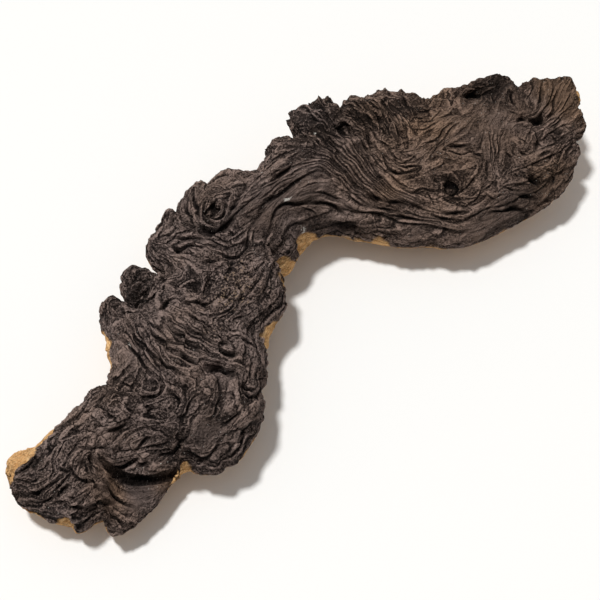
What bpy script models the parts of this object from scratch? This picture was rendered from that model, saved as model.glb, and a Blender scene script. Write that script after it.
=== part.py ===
"""A mopani root: one weathered, gnarled piece of root wood, lying on its pale sandblasted underside.

The root is drawn from above, lying along X. Its two long edges are traced in stretches, from the
narrow tip at -X to the broad paddle at +X. Cross sections run from the back edge to the front edge,
with a full, folded back above and a shallow belly below, and are lofted into one closed solid.
Knobs, hollows, creases and lengthwise ridges are then raised from that surface by formula.
"""

import bpy
import numpy as np

MM = 0.001

# Size of the mesh: sections along the root, and points around each section.
SECTIONS = 134
AROUND = 44
UNDER_SHARE = 0.5

# How many sections an edge is evened over, and how far in from it, in mm, its knobs and notches
# reach on the top and on the underside.
EVENING = 7
EDGE_REACH = 20.0
UNDER_REACH = 10.0

# The back slopes up gently from its edge, and the front stands up more steeply, as each stretch says.
BACK_FULLNESS = 1.7

# Relief starts a little way in from the edges: this share of the height above them is its full strength.
RELIEF_START = 0.3

# The lengthwise ridges: their spacing and height in mm.
RIDGE_SPACING = 11.0
RIDGE_HEIGHT = 0.9

# Where the drawing's own zero lies in the part's frame, in mm, so that the origin is under the middle.
DRAWING_SHIFT = (-11.4, -11.2, 0.0)

# Each stretch: points of the back edge and of the front edge (x, y, height of the edge), the height
# of the top and of the underside over the middle line at its start, and how full its sections are.
# Millimetres, seen from above. A stretch runs on to the first points of the next one.
STRETCHES = [
    {
        "name": "tip",
        "back": [(-188, -21, 14), (-188, -11, 15), (-187, -3, 15), (-183, 4, 14), (-176, 4, 13)],
        "front": [(-188, -21, 14), (-187, -29, 14), (-184, -37, 15), (-180, -43, 15)],
        "top": 15, "under": 10, "fullness": 2.6,
    },
    {
        "name": "toe",
        "back": [(-168, 2, 12), (-158, 3, 14)],
        "front": [(-174, -48, 15), (-175, -52, 14), (-170, -54, 14), (-164, -53, 14)],
        "top": 34, "under": 5, "fullness": 2.6,
    },
    {
        "name": "foot",
        "back": [(-149, 4, 12), (-144, 7, 13), (-137, 8, 14), (-130, 11, 14), (-124, 11, 14)],
        "front": [(-158, -55, 14), (-162, -60, 13), (-161, -63, 13), (-157, -66, 14), (-150, -67, 15),
                  (-143, -66, 15), (-135, -64, 16), (-128, -61, 17), (-120, -58, 17)],
        "top": 39, "under": 5, "fullness": 2.5,
    },
    {
        "name": "heel",
        "back": [(-120, 8, 14), (-115, 14, 14), (-111, 19, 14), (-108, 27, 15), (-105, 35, 15),
                 (-102, 43, 16)],
        "front": [(-113, -57, 17), (-109, -59, 18), (-108, -63, 18), (-103, -67, 18), (-99, -70, 18),
                  (-95, -68, 18), (-90, -70, 18), (-84, -69, 18), (-78, -66, 19)],
        "top": 44, "under": 6, "fullness": 2.5,
    },
    {
        "name": "knobs",
        "back": [(-99, 49, 16), (-95, 52, 16), (-90, 52, 16), (-86, 48, 16), (-84, 40, 14),
                 (-82, 52, 16), (-79, 58, 16), (-74, 61, 17), (-69, 59, 17), (-65, 56, 17),
                 (-62, 43, 14)],
        "front": [(-72, -64, 19), (-66, -60, 19), (-61, -54, 19), (-57, -48, 20), (-54, -43, 20),
                  (-50, -42, 20), (-48, -38, 20), (-44, -33, 19)],
        "top": 47, "under": 6, "fullness": 2.5,
    },
    {
        "name": "shoulder",
        "back": [(-58, 50, 15), (-58, 60, 17), (-57, 67, 18), (-55, 72, 19), (-51, 72, 19),
                 (-47, 74, 20), (-43, 75, 21), (-38, 79, 22), (-33, 81, 22), (-33, 75, 22)],
        "front": [(-39, -25, 17), (-34, -21, 17), (-29, -17, 18), (-23, -14, 20), (-17, -12, 21),
                  (-13, -6, 21), (-9, -2, 21)],
        "top": 48, "under": 8, "fullness": 2.4,
    },
    {
        "name": "knot",
        "back": [(-29, 78, 22), (-23, 83, 23), (-18, 87, 23), (-11, 88, 23), (-8, 85, 23),
                 (-7, 81, 23), (-1, 82, 24), (4, 84, 24), (8, 85, 25), (11, 79, 25)],
        "front": [(-6, 2, 21), (-5, 7, 20), (-8, 12, 18), (-4, 11, 17), (2, 10, 17), (7, 12, 17),
                  (11, 15, 18)],
        "top": 50, "under": 12, "fullness": 2.3,
    },
    {
        "name": "neck",
        "back": [(15, 73, 25), (19, 71, 25), (24, 72, 26), (30, 75, 27), (35, 79, 27), (36, 83, 28),
                 (43, 83, 29), (50, 80, 29), (52, 77, 29)],
        "front": [(15, 17, 18), (20, 18, 19), (27, 19, 20), (33, 18, 20), (38, 15, 20)],
        "top": 51, "under": 14, "fullness": 2.3,
    },
    {
        "name": "fin",
        "back": [(57, 77, 29), (58, 85, 30), (62, 90, 31), (68, 92, 31), (72, 89, 31), (77, 92, 31),
                 (82, 92, 31), (83, 89, 31), (88, 91, 31), (86, 85, 30), (87, 79, 30)],
        "front": [(43, 11, 19), (47, 6, 18), (53, 1, 18), (58, -5, 18)],
        "top": 51, "under": 12, "fullness": 2.2,
    },
    {
        "name": "fan",
        "back": [(91, 80, 32), (98, 83, 33), (103, 78, 33), (107, 78, 33), (111, 76, 33),
                 (116, 77, 34), (118, 72, 34), (123, 70, 34), (124, 65, 34), (129, 63, 34),
                 (131, 56, 34)],
        "front": [(65, -12, 18), (71, -17, 19), (77, -22, 19), (83, -28, 19), (89, -32, 20)],
        "top": 52, "under": 9, "fullness": 2.2,
    },
    {
        "name": "bowl",
        "back": [(134, 51, 35), (141, 50, 35), (150, 51, 36), (155, 48, 36), (162, 46, 36),
                 (170, 46, 36)],
        "front": [(96, -36, 20), (103, -38, 20), (112, -39, 20), (120, -39, 20), (128, -40, 20),
                  (139, -41, 20), (147, -41, 19)],
        "top": 50, "under": 8, "fullness": 2.1,
    },
    {
        "name": "paddle",
        "back": [(178, 43, 37), (182, 40, 37), (184, 34, 36), (184, 27, 35), (190, 28, 35),
                 (199, 27, 36), (203, 22, 36), (208, 17, 36)],
        "front": [(153, -42, 20), (161, -41, 21), (168, -39, 23), (175, -35, 25), (181, -31, 27),
                  (187, -27, 30), (186, -21, 32), (194, -22, 32), (202, -18, 34), (203, -11, 35)],
        "top": 45, "under": 15, "fullness": 2.0,
    },
    {
        "name": "end",
        "back": [(211, 12, 37)],
        "front": [(203, -6, 36), (208, -3, 37), (210, 4, 37), (211, 12, 37)],
        "top": 39, "under": 34, "fullness": 2.0,
    },
]

# The low knuckles of the underside that the root lies on: x, y, radius.
FEET = [(-138, -28, 13), (62, 52, 13), (128, -8, 14)]

# Knobs and hollows of the top: x, y, radius along x, radius along y, height in mm.
KNOBS_AND_HOLLOWS = [
    (-92, 47, 7, 8, 6),
    (-73, 53, 8, 8, 8),
    (-76, 40, 7, 4, -8),
    (-84, 42, 3, 7, -7),
    (-20, 52, 12, 11, 7),
    (-20, 51, 4, 4, -7),
    (-45, 13, 9, 8, -4),
    (-72, -29, 6, 4, -6),
    (-154, -33, 5, 9, 3),
    (-96, -55, 10, 8, 2),
    (70, 84, 14, 7, 3),
    (76, 58, 5, 8, -10),
    (84, 35, 6, 4, -5),
    (113, 50, 9, 5, -7),
    (101, -10, 4, 4, -6),
    (162, 36, 13, 6, -9),
    (141, 38, 4, 4, -6),
    (175, -1, 5, 3, -6),
    (158, -33, 5, 4, 3),
]

# Folds of the top: half width and depth in mm, then the points along the fold, seen from above.
FOLDS = [
    (3.0, 7.0, [(-150, -37), (-149, -44), (-145, -49), (-140, -53), (-130, -57), (-116, -57)]),
    (2.5, 3.0, [(-187, -13), (-180, -13), (-170, -12), (-160, -6)]),
    (2.5, 3.0, [(-184, -20), (-178, -23), (-172, -21), (-165, -14)]),
    (2.5, 3.5, [(-184, -29), (-174, -30), (-166, -30), (-161, -28)]),
    (2.5, 3.5, [(-177, -37), (-168, -36), (-163, -35), (-159, -40), (-156, -48)]),
    (2.5, 3.0, [(-172, -47), (-164, -50), (-153, -52)]),
    (2.5, 3.0, [(-152, -24), (-145, -30), (-137, -34)]),
    (2.5, 3.5, [(-145, -32), (-143, -39), (-134, -41), (-127, -41)]),
    (2.5, 3.0, [(-138, -18), (-134, -27), (-126, -29)]),
    (2.5, 3.5, [(-115, -46), (-108, -52), (-102, -48), (-96, -45)]),
    (2.5, 3.5, [(-110, -56), (-106, -62), (-98, -65), (-89, -62)]),
    (2.5, 4.0, [(-105, -42), (-97, -41), (-90, -37)]),
    (2.5, 3.0, [(-95, -48), (-89, -51), (-81, -46), (-76, -40), (-75, -33)]),
    (2.5, 3.0, [(-91, -55), (-84, -58), (-73, -56)]),
    (2.5, 3.0, [(-67, -44), (-66, -50), (-61, -51)]),
    (2.5, 3.0, [(-115, -19), (-107, -25), (-101, -22)]),
    (2.5, 3.5, [(-102, 30), (-101, 12), (-102, -5), (-101, -17)]),
    (2.5, 3.0, [(-93, 12), (-93, -8), (-91, -20), (-87, -25)]),
    (2.5, 4.0, [(-88, 14), (-87, 0), (-83, -12), (-80, -20)]),
    (2.5, 3.5, [(-78, 8), (-76, -8), (-74, -20), (-71, -28)]),
    (2.5, 3.5, [(-72, 2), (-68, -13), (-64, -24), (-59, -30)]),
    (2.5, 3.5, [(-70, 20), (-63, 12), (-58, 7), (-51, 4)]),
    (2.5, 3.5, [(-60, -5), (-48, -6), (-38, -3), (-28, 2)]),
    (2.5, 3.0, [(-50, 60), (-46, 46), (-38, 37), (-34, 30)]),
    (3.0, 7.0, [(-34, 58), (-33, 47), (-28, 40), (-20, 40), (-13, 45), (0, 50)]),
    (2.5, 4.0, [(-42, 32), (-35, 24), (-27, 20), (-19, 22), (-12, 28), (-5, 32)]),
    (2.5, 4.0, [(-10, 38), (-2, 36), (5, 40), (22, 40), (40, 40), (47, 38), (52, 31)]),
    (2.5, 3.0, [(-6, 48), (2, 44), (14, 50), (28, 50), (38, 53)]),
    (2.5, 3.5, [(2, 28), (13, 33), (24, 31), (33, 24), (42, 13)]),
    (2.5, 3.0, [(46, 18), (54, 6), (65, -6), (78, -19)]),
    (2.5, 4.5, [(58, 22), (60, 10), (66, 2), (75, -6), (84, -16), (94, -26)]),
    (2.5, 4.5, [(64, 20), (66, 8), (72, 0), (82, -2), (90, -4), (97, -9)]),
    (2.5, 4.0, [(84, 52), (81, 42), (79, 22), (79, 12), (87, 9), (98, 9)]),
    (2.5, 3.5, [(56, 72), (56, 56), (56, 44), (58, 30)]),
    (2.5, 3.5, [(66, 72), (66, 56), (67, 42), (70, 28)]),
    (2.5, 3.5, [(101, 72), (102, 60), (106, 51)]),
    (2.5, 3.0, [(92, 50), (90, 38), (94, 26), (106, 20), (122, 20)]),
    (2.5, 3.0, [(108, 42), (112, 34), (122, 31), (132, 34)]),
    (2.5, 3.5, [(127, -17), (132, -9), (142, 5)]),
    (2.5, 4.0, [(95, -30), (110, -32), (124, -35), (136, -36), (147, -38)]),
    (2.5, 3.0, [(105, -22), (118, -19), (128, -20)]),
    (2.5, 3.5, [(150, -20), (150, -32)]),
    (2.5, 3.5, [(156, -24), (163, -30), (163, -36)]),
    (2.5, 3.5, [(148, 41), (160, 40), (170, 37), (178, 34)]),
    (2.5, 3.0, [(168, 14), (180, 12), (192, 20)]),
    (2.5, 3.0, [(168, -8), (180, -10), (194, -8)]),
]


def along(points, count):
    """count points at even steps of length along a traced line."""
    line = np.array(points, float)
    steps = np.linalg.norm(np.diff(line[:, :2], axis=0), axis=1)
    reach = np.concatenate([[0], np.cumsum(steps)])
    wanted = np.linspace(0, reach[-1], count)
    return np.stack([np.interp(wanted, reach, line[:, k]) for k in range(3)], axis=1)


def edges_and_heights():
    """The back edge, the front edge, and the top, underside and fullness, one row for each section."""
    runs = []
    for here, following in zip(STRETCHES[:-1], STRETCHES[1:]):
        back = here["back"] + following["back"][:1]
        front = here["front"] + following["front"][:1]
        runs.append((back, front, here, following))
    last = STRETCHES[-1]
    runs[-1] = (runs[-1][0] + last["back"][1:], runs[-1][1] + last["front"][1:], runs[-1][2], last)
    lengths = np.array([max(np.linalg.norm(np.diff(np.array(edge, float)[:, :2], axis=0), axis=1).sum()
                            for edge in run[:2]) for run in runs])
    counts = np.maximum(2, np.round(lengths / lengths.sum() * SECTIONS).astype(int))
    back_rows, front_rows, height_rows = [], [], []
    for (back, front, here, following), count in zip(runs, counts):
        share = np.linspace(0, 1, count + 1)
        ease = share * share * (3 - 2 * share)
        start = np.array([here["top"], here["under"], here["fullness"]], float)
        end = np.array([following["top"], following["under"], following["fullness"]], float)
        back_rows.append(along(back, count + 1)[:-1])
        front_rows.append(along(front, count + 1)[:-1])
        height_rows.append((start + ease[:, None] * (end - start))[:-1])
    return np.concatenate(back_rows), np.concatenate(front_rows), np.concatenate(height_rows)


def smoothed(edge, reach):
    """The edge with its knobs and notches evened out: each row averaged with its neighbours."""
    offsets = np.arange(-3 * reach, 3 * reach + 1)
    weights = np.exp(-(offsets / reach) ** 2 / 2)
    rows = np.clip(np.arange(len(edge))[:, None] + offsets, 0, len(edge) - 1)
    return (edge[rows] * (weights / weights.sum())[:, None]).sum(axis=1)


def section_grid(back, front, heights):
    """Points of every section, at even steps round it, with their height above the edges as a share
    of the full height. A section is a superellipse from edge to edge, whose upper half reaches the
    top height and whose lower half reaches the underside. The knobs and notches of an edge reach
    only a little way in, so they leave the middle of the section as it is."""
    angle = np.linspace(0, 2 * np.pi, 361)
    top, under, fullness = heights.T
    gentle = (np.cos(angle) > 0) & (np.sin(angle) > 0)
    power = np.where(gentle, 2 / BACK_FULLNESS, 2 / fullness[:, None])
    across = -np.sign(np.cos(angle)) * np.abs(np.cos(angle)) ** power
    rise = np.sign(np.sin(angle)) * np.abs(np.sin(angle)) ** power
    share = (across + 1)[..., None] / 2
    even_back, even_front = smoothed(back, EVENING), smoothed(front, EVENING)
    line = even_back[:, None] * (1 - share) + even_front[:, None] * share
    width = np.linalg.norm(even_front - even_back, axis=1)[:, None, None]
    reach = np.where(rise > 0, EDGE_REACH, UNDER_REACH)[..., None]
    line += (back - even_back)[:, None] * np.exp(-(share * width / reach) ** 2)
    line += (front - even_front)[:, None] * np.exp(-((1 - share) * width / reach) ** 2)
    middle = (even_back[:, 2] + even_front[:, 2]) / 2
    up = np.maximum(top - middle, 1)[:, None]
    down = np.maximum(middle - under, 1)[:, None]
    line[..., 2] += np.where(rise > 0, up, down) * rise
    steps = np.linalg.norm(np.diff(line, axis=1), axis=2) * np.where(rise[:, 1:] > 0, 1, UNDER_SHARE)
    lengths = np.concatenate([np.zeros((len(line), 1)), np.cumsum(steps, axis=1)], axis=1)
    wanted = np.linspace(0, 1, AROUND + 1)[:-1]
    rows = []
    for section, lift, length in zip(line, rise, lengths):
        values = [section[:, 0], section[:, 1], section[:, 2], lift]
        rows.append(np.stack([np.interp(wanted * length[-1], length, value) for value in values], axis=1))
    grid = np.array(rows)
    return grid[..., :3], grid[..., 3]


def distance_to_fold(x, y, line):
    """How far each point is from a fold's line, and how far along the fold that is, from 0 to 1."""
    points = np.array(line, float)
    lengths = np.linalg.norm(np.diff(points, axis=0), axis=1)
    begins = np.concatenate([[0], np.cumsum(lengths)[:-1]])
    nearest = np.full(x.shape, np.inf)
    place = np.zeros(x.shape)
    for start, end, length, begin in zip(points[:-1], points[1:], lengths, begins):
        run = (end - start) / length
        part = np.clip((x - start[0]) * run[0] + (y - start[1]) * run[1], 0, length)
        away = np.hypot(x - start[0] - part * run[0], y - start[1] - part * run[1])
        nearer = away < nearest
        place = np.where(nearer, (begin + part) / lengths.sum(), place)
        nearest = np.where(nearer, away, nearest)
    return nearest, place


def relief(x, y, middle_y):
    """Height of the knobs, hollows, folds and lengthwise ridges over the plain top, in mm. Each fold
    is a groove between two low banks, and runs out at its ends."""
    height = np.zeros(x.shape)
    for at_x, at_y, wide, deep, lift in KNOBS_AND_HOLLOWS:
        height += lift * np.exp(-((x - at_x) / wide) ** 2 - ((y - at_y) / deep) ** 2)
    for half_width, depth, line in FOLDS:
        away, place = distance_to_fold(x, y, line)
        strength = depth * np.sin(np.pi * np.clip(place, 0.06, 0.94)) ** 0.4
        groove = 1.35 * np.exp(-(away / half_width) ** 2)
        banks = 0.45 * np.exp(-(away / (2.4 * half_width)) ** 2)
        height += strength * (banks - groove)
    wander = 3.5 * np.sin(x / 19) + 2.5 * np.sin(x / 8.5 + y / 14)
    height += RIDGE_HEIGHT * np.cos(2 * np.pi * (y - middle_y + wander) / RIDGE_SPACING)
    return height


def stand_on_feet(grid, rise):
    """The underside is drawn down at each foot, and worn flat at the floor."""
    for x, y, radius in FEET:
        away = np.hypot(grid[..., 0] - x, grid[..., 1] - y) / radius
        pull = np.exp(-away ** 2 / 2) * 16
        grid[..., 2] -= np.where(rise < 0, pull, 0)
    grid[..., 2] = np.maximum(grid[..., 2], 0)
    return grid


def loft(grid):
    """One closed mesh from the grid, with a point at each end."""
    count, around = grid.shape[:2]
    points = grid.reshape(-1, 3)
    ends = np.array([grid[0].mean(axis=0), grid[-1].mean(axis=0)])
    points = np.concatenate([points, ends])
    row, column = np.meshgrid(np.arange(count - 1), np.arange(around), indexing="ij")
    ahead = (column + 1) % around
    quads = np.stack([row * around + column, row * around + ahead,
                      (row + 1) * around + ahead, (row + 1) * around + column], axis=-1)
    quads = quads.reshape(-1, 4)
    ring = np.arange(around)
    turn = (ring + 1) % around
    first = np.stack([turn, ring, np.full(around, count * around)], axis=-1)
    base = (count - 1) * around
    final = np.stack([base + ring, base + turn, np.full(around, count * around + 1)], axis=-1)
    return points, quads.tolist() + first.tolist() + final.tolist()


def dark_wood():
    """Dark brown, dull root wood."""
    material = bpy.data.materials.new("dark_wood")
    material.use_nodes = True
    shader = material.node_tree.nodes["Principled BSDF"]
    shader.inputs["Base Color"].default_value = (0.045, 0.034, 0.029, 1)
    shader.inputs["Roughness"].default_value = 0.85
    shader.inputs["Metallic"].default_value = 0.0
    return material


def main():
    for item in list(bpy.data.objects):
        bpy.data.objects.remove(item)
    back, front, heights = edges_and_heights()
    back, front, heights = back[1:], front[1:], heights[1:]
    grid, rise = section_grid(back, front, heights)
    middle_y = smoothed((back + front) / 2, EVENING)[:, None, 1]
    lift = relief(grid[..., 0], grid[..., 1], middle_y)
    grid[..., 2] += lift * np.clip(rise / RELIEF_START, 0, 1)
    grid = stand_on_feet(grid, rise)
    grid += np.array(DRAWING_SHIFT)
    points, faces = loft(grid)
    mesh = bpy.data.meshes.new("mopani_root")
    mesh.from_pydata((points * MM).tolist(), [], faces)
    mesh.materials.append(dark_wood())
    mesh.shade_smooth()
    root = bpy.data.objects.new("mopani_root", mesh)
    collection = bpy.data.collections.new("mopani_root")
    bpy.context.scene.collection.children.link(collection)
    collection.objects.link(root)


main()
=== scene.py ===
"""A mopani root: one weathered, gnarled piece of root wood, lying on its pale sandblasted underside.

The root is a single surface, worked out as whole arrays over sections along it and points round each
section. Its folds are drawn one by one, in millimetres seen from above, and the finer ridges between
them follow the way that the folds run.
"""

import bpy
import numpy as np
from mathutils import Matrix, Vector


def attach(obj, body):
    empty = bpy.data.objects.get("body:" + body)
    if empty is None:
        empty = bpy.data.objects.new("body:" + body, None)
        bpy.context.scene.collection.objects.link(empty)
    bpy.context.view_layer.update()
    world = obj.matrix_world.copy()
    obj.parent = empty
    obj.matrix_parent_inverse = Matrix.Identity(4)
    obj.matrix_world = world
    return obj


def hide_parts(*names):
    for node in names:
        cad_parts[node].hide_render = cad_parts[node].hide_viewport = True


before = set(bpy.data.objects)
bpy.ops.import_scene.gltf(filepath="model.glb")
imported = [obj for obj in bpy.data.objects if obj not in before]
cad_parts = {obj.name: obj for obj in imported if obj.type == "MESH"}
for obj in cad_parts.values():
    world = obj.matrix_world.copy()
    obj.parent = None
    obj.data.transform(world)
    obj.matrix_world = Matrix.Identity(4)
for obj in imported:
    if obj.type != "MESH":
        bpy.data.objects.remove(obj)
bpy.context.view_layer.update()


# The root's plain form. It grew as one body, lies along X with its narrow tip at -X and its broad
# paddle at +X, and is a full, rounded back above a shallow belly. The back edge and the front edge
# are traced in thirteen stretches: points (x, y, height) in mm, then the height of the top and of
# the underside over the middle line at the stretch's start, and how full the section is.
MM = 0.001
SECTIONS = 600
AROUND = 164
ANGLES = 721
EVENING = 31
SOFTENING = 1.2
UNDER_SHARE = 0.28
EDGE_REACH = 20.0
UNDER_REACH = 10.0
BACK_FULLNESS = 1.7
FOOT_DEPTH = 16
DRAWING_SHIFT = np.array([-11.4, -11.2, 0.0])

STRETCHES = {
    "tip": {
        "back": [(-188, -21, 14), (-188, -11, 15), (-187, -3, 15), (-183, 4, 14), (-176, 4, 13)],
        "front": [(-188, -21, 14), (-187, -29, 14), (-184, -37, 15), (-180, -43, 15)],
        "top": 15, "under": 10, "fullness": 2.6,
    },
    "toe": {
        "back": [(-168, 2, 12), (-158, 3, 14)],
        "front": [(-174, -48, 15), (-175, -52, 14), (-170, -54, 14), (-164, -53, 14)],
        "top": 34, "under": 5, "fullness": 2.6,
    },
    "foot": {
        "back": [(-149, 4, 12), (-144, 7, 13), (-137, 8, 14), (-130, 11, 14), (-124, 11, 14)],
        "front": [(-158, -55, 14), (-162, -60, 13), (-161, -63, 13), (-157, -66, 14), (-150, -67, 15),
                  (-143, -66, 15), (-135, -64, 16), (-128, -61, 17), (-120, -58, 17)],
        "top": 39, "under": 5, "fullness": 2.5,
    },
    "heel": {
        "back": [(-120, 8, 14), (-115, 14, 14), (-111, 19, 14), (-108, 27, 15), (-105, 35, 15),
                 (-102, 43, 16)],
        "front": [(-113, -57, 17), (-109, -59, 18), (-108, -63, 18), (-103, -67, 18), (-99, -70, 18),
                  (-95, -68, 18), (-90, -70, 18), (-84, -69, 18), (-78, -66, 19)],
        "top": 44, "under": 6, "fullness": 2.5,
    },
    "knobs": {
        "back": [(-99, 49, 16), (-95, 52, 16), (-90, 52, 16), (-86, 48, 16), (-84, 40, 14),
                 (-82, 52, 16), (-79, 58, 16), (-74, 61, 17), (-69, 59, 17), (-65, 56, 17),
                 (-62, 43, 14)],
        "front": [(-72, -64, 19), (-66, -60, 19), (-61, -54, 19), (-57, -48, 20), (-54, -43, 20),
                  (-50, -42, 20), (-48, -38, 20), (-44, -33, 19)],
        "top": 47, "under": 6, "fullness": 2.5,
    },
    "shoulder": {
        "back": [(-58, 50, 15), (-58, 60, 17), (-57, 67, 18), (-55, 72, 19), (-51, 72, 19),
                 (-47, 74, 20), (-43, 75, 21), (-38, 79, 22), (-33, 81, 22), (-33, 75, 22)],
        "front": [(-39, -25, 17), (-34, -21, 17), (-29, -17, 18), (-23, -14, 20), (-17, -12, 21),
                  (-13, -6, 21), (-9, -2, 21)],
        "top": 48, "under": 8, "fullness": 2.4,
    },
    "knot": {
        "back": [(-29, 78, 22), (-23, 83, 23), (-18, 87, 23), (-11, 88, 23), (-8, 85, 23),
                 (-7, 81, 23), (-1, 82, 24), (4, 84, 24), (8, 85, 25), (11, 79, 25)],
        "front": [(-6, 2, 21), (-5, 7, 20), (-8, 12, 18), (-4, 11, 17), (2, 10, 17), (7, 12, 17),
                  (11, 15, 18)],
        "top": 50, "under": 12, "fullness": 2.3,
    },
    "neck": {
        "back": [(15, 73, 25), (19, 71, 25), (24, 72, 26), (30, 75, 27), (35, 79, 27), (36, 83, 28),
                 (43, 83, 29), (50, 80, 29), (52, 77, 29)],
        "front": [(15, 17, 18), (20, 18, 19), (27, 19, 20), (33, 18, 20), (38, 15, 20)],
        "top": 51, "under": 14, "fullness": 2.3,
    },
    "fin": {
        "back": [(57, 77, 29), (58, 85, 30), (62, 90, 31), (68, 92, 31), (72, 89, 31), (77, 92, 31),
                 (82, 92, 31), (83, 89, 31), (88, 91, 31), (86, 85, 30), (87, 79, 30)],
        "front": [(43, 11, 19), (47, 6, 18), (53, 1, 18), (58, -5, 18)],
        "top": 51, "under": 12, "fullness": 2.2,
    },
    "fan": {
        "back": [(91, 80, 32), (98, 83, 33), (103, 78, 33), (107, 78, 33), (111, 76, 33),
                 (116, 77, 34), (118, 72, 34), (123, 70, 34), (124, 65, 34), (129, 63, 34),
                 (131, 56, 34)],
        "front": [(65, -12, 18), (71, -17, 19), (77, -22, 19), (83, -28, 19), (89, -32, 20)],
        "top": 52, "under": 9, "fullness": 2.2,
    },
    "bowl": {
        "back": [(134, 51, 35), (141, 50, 35), (150, 51, 36), (155, 48, 36), (162, 46, 36),
                 (170, 46, 36)],
        "front": [(96, -36, 20), (103, -38, 20), (112, -39, 20), (120, -39, 20), (128, -40, 20),
                  (139, -41, 20), (147, -41, 19)],
        "top": 50, "under": 8, "fullness": 2.1,
    },
    "paddle": {
        "back": [(178, 43, 37), (182, 40, 37), (184, 34, 36), (184, 27, 35), (190, 28, 35),
                 (199, 27, 36), (203, 22, 36), (208, 17, 36)],
        "front": [(153, -42, 20), (161, -41, 21), (168, -39, 23), (175, -35, 25), (181, -31, 27),
                  (187, -27, 30), (186, -21, 32), (194, -22, 32), (202, -18, 34), (203, -11, 35)],
        "top": 45, "under": 15, "fullness": 2.0,
    },
    "end": {
        "back": [(211, 12, 37)],
        "front": [(203, -6, 36), (208, -3, 37), (210, 4, 37), (211, 12, 37)],
        "top": 39, "under": 34, "fullness": 2.0,
    },
}
FEET = [(-138, -28, 13), (62, 52, 13), (128, -8, 14)]


def along(points, count):
    """count points at even steps of length along a traced line."""
    line = np.array(points, float)
    steps = np.linalg.norm(np.diff(line[:, :2], axis=0), axis=1)
    reach = np.concatenate([[0], np.cumsum(steps)])
    wanted = np.linspace(0, reach[-1], count)
    return np.stack([np.interp(wanted, reach, line[:, k]) for k in range(3)], axis=1)


def edges_and_heights():
    """The back edge, the front edge, and the top, underside and fullness, one row for each section.
    Each stretch has sections in proportion to the longer of its two edges."""
    stretches = list(STRETCHES.values())
    runs, lengths = [], []
    for here, following in zip(stretches[:-1], stretches[1:]):
        taken = None if following is stretches[-1] else 1
        edges = [np.array(here[side] + following[side][:taken], float) for side in ("back", "front")]
        ends = [[part[name] for name in ("top", "under", "fullness")] for part in (here, following)]
        runs.append(edges + list(np.array(ends, float)))
        lengths.append(max(np.linalg.norm(np.diff(edge[:, :2], axis=0), axis=1).sum() for edge in edges))
    counts = np.maximum(2, np.round(np.array(lengths) / np.sum(lengths) * SECTIONS).astype(int))
    rows = [[], [], []]
    for (back, front, start, end), count in zip(runs, counts):
        share = np.linspace(0, 1, count + 1)
        ease = share * share * (3 - 2 * share)
        rows[0].append(along(back, count + 1)[:-1])
        rows[1].append(along(front, count + 1)[:-1])
        rows[2].append((start + ease[:, None] * (end - start))[:-1])
    return [np.concatenate(part) for part in rows]


def smoothed(edge, reach):
    """The edge evened out: each row averaged with its neighbours, by a bell curve of this reach."""
    offsets = np.arange(-round(3 * reach), round(3 * reach) + 1)
    weights = np.exp(-(offsets / reach) ** 2 / 2)
    rows = np.clip(np.arange(len(edge))[:, None] + offsets, 0, len(edge) - 1)
    return (edge[rows] * (weights / weights.sum())[:, None]).sum(axis=1)


def section_grid(back, front, heights):
    """Points of every section, at even steps round it, with their height above the edges as a share
    of the full height. A section is a superellipse from edge to edge, |across|^n + |rise|^n = 1."""
    angle = np.linspace(0, 2 * np.pi, ANGLES)
    top, under, fullness = heights.T
    gentle = (np.cos(angle) > 0) & (np.sin(angle) > 0)
    power = np.where(gentle, 2 / BACK_FULLNESS, 2 / fullness[:, None])
    across = -np.sign(np.cos(angle)) * np.abs(np.cos(angle)) ** power
    rise = np.sign(np.sin(angle)) * np.abs(np.sin(angle)) ** power
    share = (across + 1)[..., None] / 2
    even_back, even_front = smoothed(back, EVENING), smoothed(front, EVENING)
    line = even_back[:, None] * (1 - share) + even_front[:, None] * share
    width = np.linalg.norm(even_front - even_back, axis=1)[:, None, None]
    reach = np.where(rise > 0, EDGE_REACH, UNDER_REACH)[..., None]
    line += (back - even_back)[:, None] * np.exp(-(share * width / reach) ** 2)
    line += (front - even_front)[:, None] * np.exp(-((1 - share) * width / reach) ** 2)
    middle = (even_back[:, 2] + even_front[:, 2]) / 2
    up = np.maximum(top - middle, 1)[:, None]
    down = np.maximum(middle - under, 1)[:, None]
    line[..., 2] += np.where(rise > 0, up, down) * rise
    steps = np.linalg.norm(np.diff(line, axis=1), axis=2) * np.where(rise[:, 1:] > 0, 1, UNDER_SHARE)
    lengths = np.concatenate([np.zeros((len(line), 1)), np.cumsum(steps, axis=1)], axis=1)
    wanted = np.linspace(0, 1, AROUND + 1)[:-1]
    rows = []
    for section, lift, length in zip(line, rise, lengths):
        values = [*section.T, lift]
        rows.append(np.stack([np.interp(wanted * length[-1], length, value) for value in values], axis=1))
    grid = np.array(rows)
    return grid[..., :3], grid[..., 3]


def stand_on_feet(points, rise):
    """The underside is drawn down at each foot by a bell curve, and worn flat at the floor."""
    for x, y, radius in FEET:
        away = np.hypot(points[..., 0] - x, points[..., 1] - y) / radius
        points[..., 2] -= np.where(rise < 0, np.exp(-away ** 2 / 2) * FOOT_DEPTH, 0)
    points[..., 2] = np.maximum(points[..., 2], 0)


back_edge, front_edge, section_heights = (rows[1:] for rows in edges_and_heights())
back_edge, front_edge = smoothed(back_edge, SOFTENING), smoothed(front_edge, SOFTENING)
wood, rise = section_grid(back_edge, front_edge, section_heights)
middle_y = smoothed((back_edge + front_edge) / 2, EVENING)[:, None, 1]


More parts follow.
